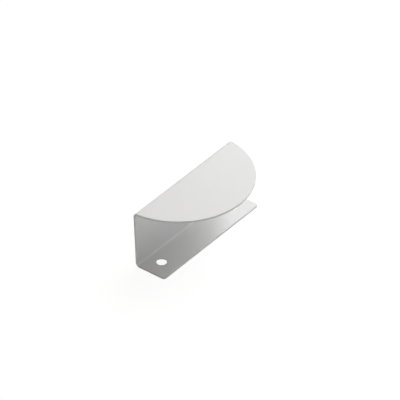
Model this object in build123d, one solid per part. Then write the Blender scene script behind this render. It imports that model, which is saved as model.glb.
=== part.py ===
"""Lip pull handle: one strip of coated sheet metal, folded twice into a C.

The flange lies flat and takes two screws, the web stands behind it, and the
half-moon lip on top reaches forward past the flange as the finger grip.
X runs along the folds, the nose of the lip points to -Y, and Z is up.  The
origin is midway between the screw holes, on the underside of the flange.
"""
from build123d import *
from build123d.topology import topo_explore_connected_faces

import os
from math import radians, tan

# Driving dimensions, in millimetres
length = 70.0
height = 30.0
sheet = 1.0
fold_radius = 1.25
edge_break = 0.1

# Depths of the flange and of the lip's nose, from the outer face of the web at its foot
flange_depth = 16.5
lip_reach = 32.5

# How far the web leans back from its foot to its top
web_lean = 1.2

# How far the lip's ends run straight past the fold, before its arc
lip_side = 0.5

# Screw holes, set back from the outer face of the web at its foot and countersunk from below,
# which leaves a straight rim on the inner face
screw_hole_diameter = 4.8
screw_hole_spacing = 52.5
screw_hole_setback = 8.0
screw_hole_rim = 0.25
countersink_angle = 90.0
flange_corner_radius = 1.5

# An edge is sharp where its faces turn by more than this many degrees
sharp_angle = 1.0

# Places along Y, with the screw holes at zero
web_foot = screw_hole_setback
web_top = web_foot + web_lean
flange_front = web_foot - flange_depth
nose = web_foot - lip_reach
outer_radius = fold_radius + sheet

# Radii of the screw holes, at the rim and at the countersink's mouth
screw_hole_radius = screw_hole_diameter / 2
countersink_spread = tan(radians(countersink_angle / 2))
countersink_radius = screw_hole_radius + (sheet - screw_hole_rim) * countersink_spread


def folded_strip():
    """The C-shaped section, still as long at the lip as it is at the flange."""
    corners = [(flange_front, 0), (web_foot, 0), (web_top, height), (nose, height)]
    with BuildPart() as strip:
        with BuildSketch(Plane.YZ):
            with BuildLine():
                FilletPolyline(*corners, radius=outer_radius)
                offset(amount=sheet, side=Side.LEFT)
            make_face()
        extrude(amount=length / 2, both=True)
    return strip.part


def lip_waste(arc_start):
    """What is cut from the front of the strip, ahead of arc_start, to leave a half-moon lip."""
    end = length / 2
    past_end = end + outer_radius
    past_nose = nose - outer_radius
    with BuildPart() as waste:
        with BuildSketch(Plane.XY.offset(height - outer_radius)):
            with BuildLine():
                ThreePointArc((-end, arc_start), (0, nose), (end, arc_start))
                Polyline(
                    (end, arc_start),
                    (past_end, arc_start),
                    (past_end, past_nose),
                    (-past_end, past_nose),
                    (-past_end, arc_start),
                    (-end, arc_start),
                )
            make_face()
        extrude(amount=2 * outer_radius)
    return waste.part


def sharp_edges(solid):
    """The edges where two faces meet at an angle, which are the rims of the sheet."""
    sharp = []
    for edge in solid.edges():
        middle = edge @ 0.5
        beside = [Face(found) for found in topo_explore_connected_faces(edge, solid)]
        normals = [face.normal_at(middle) for face in beside]
        if normals[0].get_angle(normals[-1]) > sharp_angle:
            sharp.append(edge)
    return sharp


def handle():
    """The finished sheet, with its lip cut, its holes, rounded corners and broken edges."""
    strip = folded_strip()
    lip_top = strip.faces().sort_by(Axis.Z)[-1]
    fold_end = lip_top.bounding_box().max.Y
    underside = Location((0, 0, 0), (180, 0, 0))
    with BuildPart() as plate:
        add(strip)
        add(lip_waste(fold_end - lip_side), mode=Mode.SUBTRACT)
        with Locations(underside):
            with GridLocations(screw_hole_spacing, 0, 2, 1):
                CounterSinkHole(screw_hole_radius, countersink_radius, sheet, countersink_angle)

        front_edge = plate.faces().filter_by(Axis.Y).sort_by(Axis.Y)[0]
        fillet(front_edge.edges().filter_by(Axis.Z), flange_corner_radius)
        fillet(sharp_edges(plate.part), edge_break)
    return plate.part


os.makedirs("parts", exist_ok=True)
export_step(handle(), "parts/folded_plate.step")
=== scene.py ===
import math

import bpy
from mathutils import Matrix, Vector


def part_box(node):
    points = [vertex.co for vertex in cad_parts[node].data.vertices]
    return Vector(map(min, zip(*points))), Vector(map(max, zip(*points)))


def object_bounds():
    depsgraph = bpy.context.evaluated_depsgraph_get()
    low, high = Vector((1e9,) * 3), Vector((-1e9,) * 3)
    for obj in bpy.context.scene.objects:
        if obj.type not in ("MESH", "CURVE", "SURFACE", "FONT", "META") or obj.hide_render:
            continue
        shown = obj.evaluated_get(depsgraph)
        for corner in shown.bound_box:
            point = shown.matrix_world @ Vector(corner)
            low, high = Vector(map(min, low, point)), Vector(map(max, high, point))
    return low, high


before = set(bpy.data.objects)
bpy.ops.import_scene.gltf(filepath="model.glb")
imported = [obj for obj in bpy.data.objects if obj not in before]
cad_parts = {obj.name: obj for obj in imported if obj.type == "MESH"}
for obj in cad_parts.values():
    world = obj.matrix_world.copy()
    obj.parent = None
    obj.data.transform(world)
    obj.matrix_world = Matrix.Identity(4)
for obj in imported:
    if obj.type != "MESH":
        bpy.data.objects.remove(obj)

cad_low, cad_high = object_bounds()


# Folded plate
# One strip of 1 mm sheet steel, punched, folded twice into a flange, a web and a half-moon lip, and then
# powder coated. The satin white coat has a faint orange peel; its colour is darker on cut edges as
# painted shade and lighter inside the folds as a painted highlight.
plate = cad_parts["folded_plate"]
plate_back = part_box("folded_plate")[1][1]

# A lighter white painted into the inside of the folds as a painted highlight
fold_highlight_colour = (0.86, 0.86, 0.852, 1.0)
coat_colour = (0.757, 0.757, 0.750, 1.0)
# A greyer white painted onto the cut edges as painted shade
edge_shade_colour = (0.68, 0.684, 0.688, 1.0)
coat_gloss = 0.3
roughness_least = 0.41
roughness_most = 0.49
cloud_size = 0.012
cloud_detail = 3.0
cloud_contrast = 0.008
peel_size = 0.0011
peel_detail = 1.0
peel_depth = 0.000018
grain_size = 0.00022
grain_detail = 2.0
grain_depth = 0.000008

# The web and its folds take up this much of the depth, and ahead of them only cut edges stand upright
fold_room = 0.0034

# How closely the painted highlight keeps to the middle of a fold
fold_highlight_closeness = 6.0

coat = bpy.data.materials.new("satin_white_powder_coat")
coat.use_nodes = True
coat_nodes = coat.node_tree.nodes
coat_links = coat.node_tree.links
coat_shader = coat_nodes["Principled BSDF"]
coat_shader.inputs["Specular IOR Level"].default_value = coat_gloss
coat_place = coat_nodes.new("ShaderNodeTexCoord")


def coat_noise(size, detail):
    """A noise through the plate whose blotches are about this many metres across."""
    noise = coat_nodes.new("ShaderNodeTexNoise")
    noise.inputs["Scale"].default_value = 1 / size
    noise.inputs["Detail"].default_value = detail
    coat_links.new(coat_place.outputs["Object"], noise.inputs["Vector"])
    return noise.outputs["Fac"]


def coat_range(noise, least, most):
    """The same noise, spread between two values."""
    usual_low = 0.3
    usual_high = 0.7
    spread = coat_nodes.new("ShaderNodeMapRange")
    spread.inputs["From Min"].default_value = usual_low
    spread.inputs["From Max"].default_value = usual_high
    spread.inputs["To Min"].default_value = least
    spread.inputs["To Max"].default_value = most
    coat_links.new(noise, spread.inputs["Value"])
    return spread.outputs["Result"]


def coat_math(operation, first, second=0.0):
    """One sum, on sockets or numbers."""
    step = coat_nodes.new("ShaderNodeMath")
    step.operation = operation
    for socket, term in zip(step.inputs, (first, second)):
        if isinstance(term, bpy.types.NodeSocket):
            coat_links.new(term, socket)
        else:
            socket.default_value = term
    return step.outputs["Value"]


def coat_bump(height, depth):
    """Relief of this depth in metres."""
    bump = coat_nodes.new("ShaderNodeBump")
    bump.inputs["Distance"].default_value = depth
    coat_links.new(height, bump.inputs["Height"])
    return bump


# Cut edges, which get painted shade, are what faces along the folds, and what stands upright ahead of
# them
facing = coat_nodes.new("ShaderNodeSeparateXYZ")
coat_links.new(coat_place.outputs["Normal"], facing.inputs["Vector"])
spot = coat_nodes.new("ShaderNodeSeparateXYZ")
coat_links.new(coat_place.outputs["Object"], spot.inputs["Vector"])
along = coat_math("ABSOLUTE", facing.outputs["X"])
level_part = coat_math("ABSOLUTE", facing.outputs["Z"])
upright = coat_math("SUBTRACT", 1.0, level_part)
ahead_of_folds = coat_math("LESS_THAN", spot.outputs["Y"], plate_back - fold_room)
edge_shade_mask = coat_math("MAXIMUM", along, coat_math("MULTIPLY", upright, ahead_of_folds))

# The inside of a fold slants from the web's front, which faces -Y, to a level face,
# and twice the product of its two parts is one midway between them
in_folds = coat_math("SUBTRACT", 1.0, ahead_of_folds)
forward_part = coat_math("MULTIPLY", facing.outputs["Y"], -1.0)
slant = coat_math("MULTIPLY", coat_math("MULTIPLY", forward_part, level_part), 2.0)
inner_slant = coat_math("MAXIMUM", coat_math("MULTIPLY", slant, in_folds), 0.0)
# The painted highlight along the inside of each fold, lightest midway round it
painted_fold_highlight = coat_math("POWER", inner_slant, fold_highlight_closeness)

# Nought for the painted highlight in the folds, a half where the coat is even and one for the painted
# shade on cut edges
even = 0.5
leaning = coat_math("MULTIPLY", coat_math("SUBTRACT", edge_shade_mask, painted_fold_highlight), even)
painted_light_level = coat_math("ADD", leaning, even)
coat_and_painted_light_ramp = coat_nodes.new("ShaderNodeValToRGB")
coat_and_painted_light_ramp.color_ramp.elements[0].color = fold_highlight_colour
coat_and_painted_light_ramp.color_ramp.elements[1].color = edge_shade_colour
coat_and_painted_light_ramp.color_ramp.elements.new(even).color = coat_colour
coat_links.new(painted_light_level, coat_and_painted_light_ramp.inputs["Fac"])

clouding = coat_nodes.new("ShaderNodeHueSaturation")
clouds = coat_range(coat_noise(cloud_size, cloud_detail), 1 - cloud_contrast, 1 + cloud_contrast)
coat_links.new(clouds, clouding.inputs["Value"])
coat_links.new(coat_and_painted_light_ramp.outputs["Color"], clouding.inputs["Color"])
coat_links.new(clouding.outputs["Color"], coat_shader.inputs["Base Color"])

peel = coat_noise(peel_size, peel_detail)
grain = coat_noise(grain_size, grain_detail)
coat_links.new(coat_range(peel, roughness_least, roughness_most), coat_shader.inputs["Roughness"])
peel_bump = coat_bump(peel, peel_depth)
grain_bump = coat_bump(grain, grain_depth)
coat_links.new(peel_bump.outputs["Normal"], grain_bump.inputs["Normal"])
coat_links.new(grain_bump.outputs["Normal"], coat_shader.inputs["Normal"])

plate.material_slots[0].material = coat


# Floor and backdrop
# A wide matt white board that the plate stands on, and a white surround. Seen directly, the board glows
# a little short of white, and the light on it makes up the rest, except in the plate's soft shadow.
floor_size = 4.0
floor_colour = (0.85, 0.85, 0.85, 1.0)
shown_white = 0.92
shown_shadow = (0.12, 0.12, 0.12, 1.0)

half_floor = floor_size / 2
floor_level = cad_low[2]
floor_corners = [
    (-half_floor, -half_floor, floor_level),
    (half_floor, -half_floor, floor_level),
    (half_floor, half_floor, floor_level),
    (-half_floor, half_floor, floor_level),
]
floor_mesh = bpy.data.meshes.new("floor")
floor_mesh.from_pydata(floor_corners, [], [(0, 1, 2, 3)])
floor = bpy.data.objects.new("floor", floor_mesh)
bpy.context.scene.collection.objects.link(floor)


def seen_directly(tree):
    """One for a ray from the camera, a reflection or a clear piece, and nought for any other."""
    rays = tree.nodes.new("ShaderNodeLightPath")
    seen = rays.outputs["Is Camera Ray"]
    for kind in ("Is Glossy Ray", "Is Transmission Ray"):
        either = tree.nodes.new("ShaderNodeMath")
        either.operation = "MAXIMUM"
        tree.links.new(seen, either.inputs[0])
        tree.links.new(rays.outputs[kind], either.inputs[1])
        seen = either.outputs["Value"]
    return seen


board = bpy.data.materials.new("matt_white_board")
board.use_nodes = True
board_nodes = board.node_tree.nodes
board_links = board.node_tree.links
board_nodes.remove(board_nodes["Principled BSDF"])
board_paint = board_nodes.new("ShaderNodeBsdfDiffuse")
board_paint.inputs["Color"].default_value = floor_colour
board_white = board_nodes.new("ShaderNodeEmission")
board_white.inputs["Strength"].default_value = shown_white
board_shadow = board_nodes.new("ShaderNodeBsdfDiffuse")
board_shadow.inputs["Color"].default_value = shown_shadow
board_shown = board_nodes.new("ShaderNodeAddShader")
board_links.new(board_white.outputs["Emission"], board_shown.inputs[0])
board_links.new(board_shadow.outputs["BSDF"], board_shown.inputs[1])
board_mix = board_nodes.new("ShaderNodeMixShader")
board_links.new(seen_directly(board.node_tree), board_mix.inputs["Fac"])
board_links.new(board_paint.outputs["BSDF"], board_mix.inputs[1])
board_links.new(board_shown.outputs["Shader"], board_mix.inputs[2])
board_links.new(board_mix.outputs["Shader"], board_nodes["Material Output"].inputs["Surface"])
floor_mesh.materials.append(board)

surround = bpy.data.worlds.new("white_surround")
surround.use_nodes = True
backdrop = surround.node_tree.nodes["Background"]
backdrop.inputs["Color"].default_value = (1.0, 1.0, 1.0, 1.0)
surround.node_tree.links.new(seen_directly(surround.node_tree), backdrop.inputs["Strength"])
bpy.context.scene.world = surround


# Lamps
# A softbox set high beyond the far end of the plate is the main light, and a white card low in front
# opens up the inside of the folds. Three large dim panels stand for a pale room around them.
daylight = (0.983, 0.992, 1.0)
card_white = (0.928, 0.973, 1.0)
room_white = (1.0, 0.963, 0.903)


def softbox(name, azimuth, elevation, distance, width, height, glow, colour):
    """An even panel that faces the origin, turned in degrees from +X towards +Y and up from the floor."""
    turn = math.radians(azimuth)
    rise = math.radians(elevation)
    outward = Vector((math.cos(turn) * math.cos(rise), math.sin(turn) * math.cos(rise), math.sin(rise)))
    lamp = bpy.data.lights.new(name, "AREA")
    lamp.shape = "RECTANGLE"
    lamp.size = width
    lamp.size_y = height
    lamp.energy = glow * math.pi * width * height
    lamp.color = colour
    panel = bpy.data.objects.new(name, lamp)
    panel.location = outward * distance
    panel.rotation_euler = (-outward).to_track_quat("-Z", "Y").to_euler()
    panel.visible_camera = False
    bpy.context.scene.collection.objects.link(panel)


softbox(
    "main_softbox", azimuth=0, elevation=40, distance=0.75,
    width=0.80, height=0.55, glow=4.88, colour=daylight,
)
softbox(
    "front_card", azimuth=270, elevation=8, distance=1.0,
    width=1.15, height=0.28, glow=1.57, colour=card_white,
)
softbox(
    "overhead_panel", azimuth=0, elevation=90, distance=1.0,
    width=1.68, height=1.15, glow=0.40, colour=room_white,
)
softbox(
    "back_panel", azimuth=90, elevation=40, distance=1.0,
    width=1.68, height=0.73, glow=0.32, colour=room_white,
)
softbox(
    "near_panel", azimuth=180, elevation=40, distance=1.0,
    width=1.68, height=0.73, glow=0.43, colour=room_white,
)


# Camera
# A long lens some two metres off, looking down along the lip from its near front corner.
view_azimuth = math.radians(52.10)
view_elevation = math.radians(37.04)
view_distance = 1.9646
lens = 388.4
aim = Vector((0.00112, -0.00076, 0.02020))

look = Vector((
    math.sin(view_azimuth) * math.cos(view_elevation),
    math.cos(view_azimuth) * math.cos(view_elevation),
    -math.sin(view_elevation),
))
camera_data = bpy.data.cameras.new("camera")
camera_data.lens = lens
camera = bpy.data.objects.new("camera", camera_data)
camera.location = aim - look * view_distance
camera.rotation_euler = look.to_track_quat("-Z", "Y").to_euler()
bpy.context.scene.collection.objects.link(camera)
bpy.context.scene.camera = camera
bpy.context.scene.view_settings.view_transform = "Standard"
